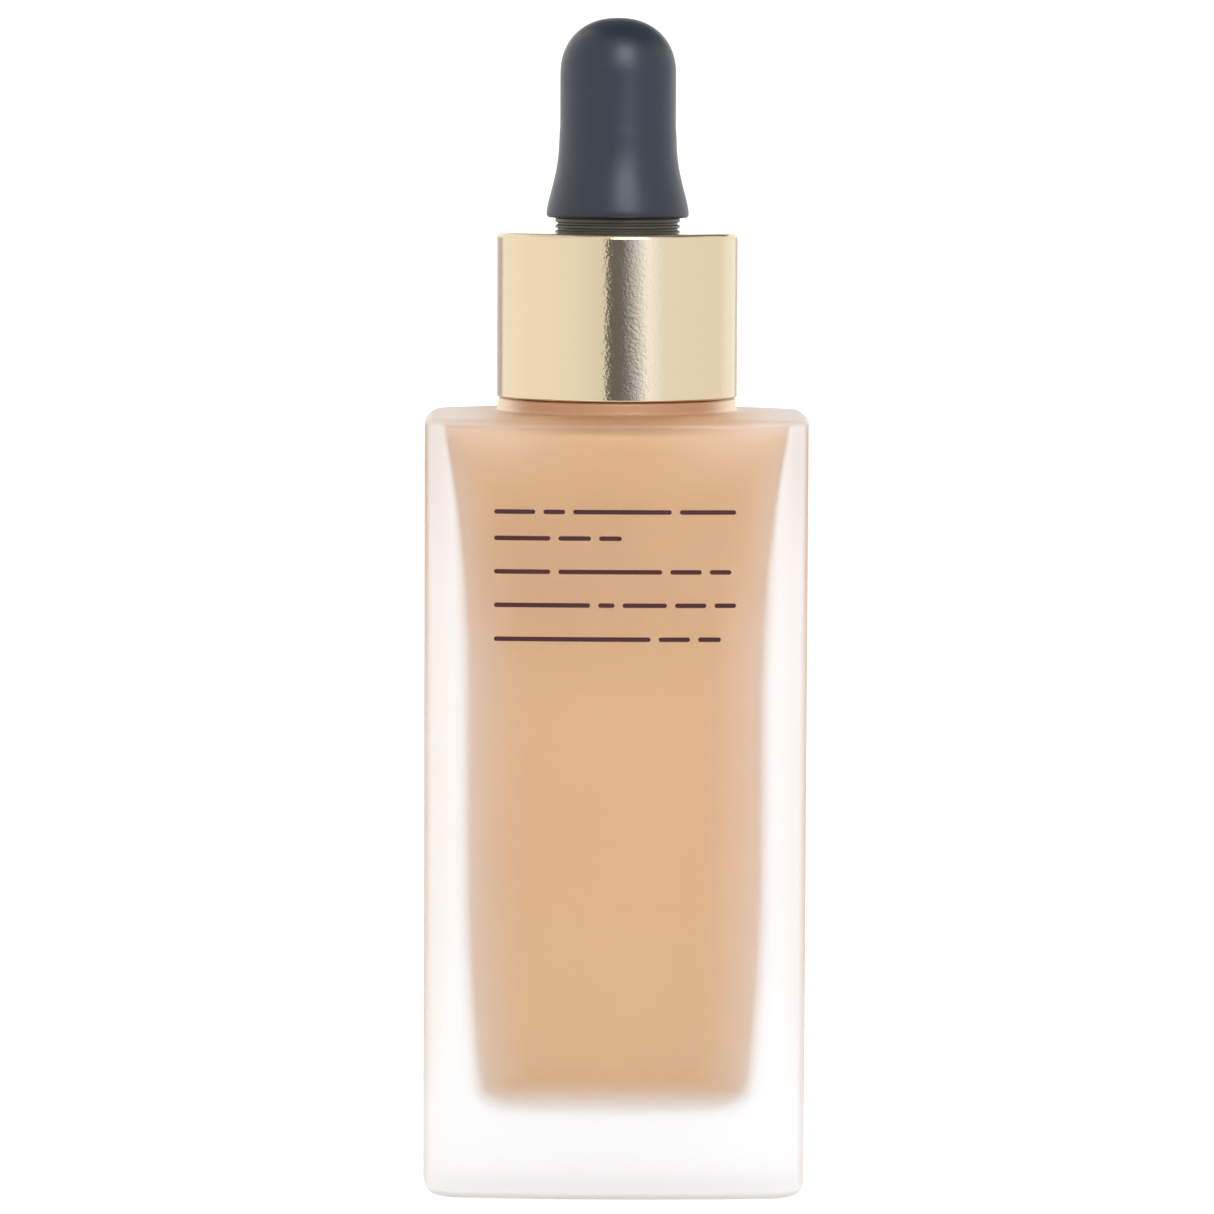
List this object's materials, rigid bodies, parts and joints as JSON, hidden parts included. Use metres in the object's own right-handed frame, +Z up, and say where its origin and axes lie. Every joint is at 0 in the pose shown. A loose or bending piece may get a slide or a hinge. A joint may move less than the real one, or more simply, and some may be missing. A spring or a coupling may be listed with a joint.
{
  "type": "foundation bottle",
  "caption": "Thick-walled frosted glass bottle of liquid foundation with a screw-on dropper closure: metal collar, rubber bulb and glass pipette.",
  "frame": {"origin": "middle of the base, on the surface that the bottle stands on", "axes": "+Z up along the neck, front face towards -Y, width along X"},
  "size_m": [0.0362, 0.026, 0.1099],
  "materials": {
    "frosted_glass": "acid-etched outside, satin",
    "foundation": "opaque beige cream",
    "wiper_plastic": "natural polyethylene",
    "washer_foam": "white foamed polyethylene",
    "pipette_glass": "clear, fire-polished ends",
    "cap_plastic": "moulded, fine matte",
    "gold_metal": "polished, pale gold anodised",
    "bulb_rubber": "soft matte slate"
  },
  "bodies": {
    "bottle": {"glass_bottle": "frosted_glass", "foundation_fill": "foundation", "neck_wiper": "wiper_plastic"},
    "dropper": {"sealing_washer": "washer_foam", "pipette_tube": "pipette_glass", "pipette_fill": "foundation"},
    "cap": {"inner_cap": "cap_plastic", "outer_collar": "gold_metal"},
    "bulb": {"dropper_bulb": "bulb_rubber"}
  },
  "joints": [
    {"name": "dropper_rise", "type": "slide", "parent": "bottle", "child": "dropper", "axis": [0, 0, 1], "range_m": [0, 0.0762]},
    {"name": "cap_turn", "type": "hinge", "parent": "dropper", "child": "cap", "pos_m": [0, 0, 0.0846], "axis": [0, 0, 1], "range_deg": [0, 8640]},
    {"name": "bulb_press", "type": "slide", "parent": "cap", "child": "bulb", "axis": [0, 0, -1], "range_m": [0, 0.0035], "stiffness_N_per_m": 1500, "deforming": ["dropper_bulb"]}
  ],
  "couplings": [
    {"joint": "cap_turn", "follows": "dropper_rise", "rad_per_m": 1979}
  ]
}
